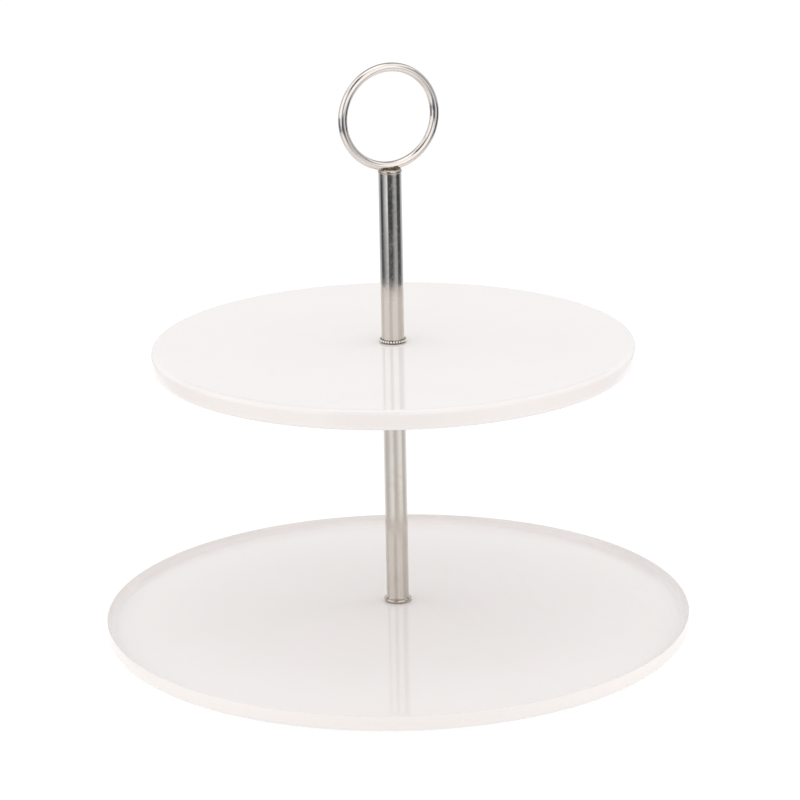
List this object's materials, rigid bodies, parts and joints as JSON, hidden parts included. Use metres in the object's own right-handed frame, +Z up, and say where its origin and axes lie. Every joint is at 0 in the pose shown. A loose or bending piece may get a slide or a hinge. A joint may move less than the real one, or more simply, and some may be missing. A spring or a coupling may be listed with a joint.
{
  "type": "tiered cake stand",
  "caption": "Tiered cake stand: round polished stone plates on a slim steel tube post with a wire ring handle that unscrews to free the upper plate.",
  "frame": {"origin": "on the axis of the post, level with the bottom of the feet", "axes": "+Z up along the post; the ring handle lies in the XZ plane"},
  "size_m": [0.3, 0.3, 0.2966],
  "materials": {
    "white_stone": "polished",
    "polished_steel": "polished",
    "plated_steel": "zinc plated",
    "braze": "heat tinted",
    "soft_washer": "matt",
    "nylon": "matt",
    "feet_rubber": "matt"
  },
  "bodies": {
    "base": {"lower_plate": "white_stone", "rubber_feet": "feet_rubber", "base_gasket": "soft_washer", "lower_gasket": "soft_washer", "lower_collar": "polished_steel", "lower_tube": "polished_steel", "lower_tube_foot_plug": "plated_steel", "lower_tube_head_plug": "plated_steel", "joining_stud": "plated_steel"},
    "upper_tier": {"upper_plate": "white_stone", "seat_washer": "nylon"},
    "collar": {"beaded_collar": "polished_steel", "upper_gasket": "soft_washer"},
    "handle": {"upper_tube": "polished_steel", "upper_tube_plug": "plated_steel", "handle_cap": "polished_steel", "handle_braze": "braze", "ring_handle": "polished_steel"},
    "washer": {"base_washer": "plated_steel"},
    "screw": {"base_screw": "plated_steel"}
  },
  "joints": [
    {"name": "upper_tier_turn", "type": "hinge", "parent": "base", "child": "upper_tier", "pos_m": [0, 0, 0.149], "axis": [0, 0, 1], "continuous": true},
    {"name": "handle_rise", "type": "slide", "parent": "base", "child": "collar", "axis": [0, 0, 1], "range_m": [0, 0.01]},
    {"name": "handle_turn", "type": "hinge", "parent": "collar", "child": "handle", "pos_m": [0, 0, 0.1548], "axis": [0, 0, 1], "range_deg": [0, 3600]},
    {"name": "base_screw_drop", "type": "slide", "parent": "base", "child": "washer", "axis": [0, 0, -1], "range_m": [0, 0.009]},
    {"name": "base_screw_turn", "type": "hinge", "parent": "washer", "child": "screw", "pos_m": [0, 0, 0.0074], "axis": [0, 0, -1], "range_deg": [0, 3240]}
  ],
  "couplings": [
    {"joint": "handle_turn", "follows": "handle_rise", "rad_per_m": 6283.2},
    {"joint": "base_screw_turn", "follows": "base_screw_drop", "rad_per_m": 6283.2}
  ]
}
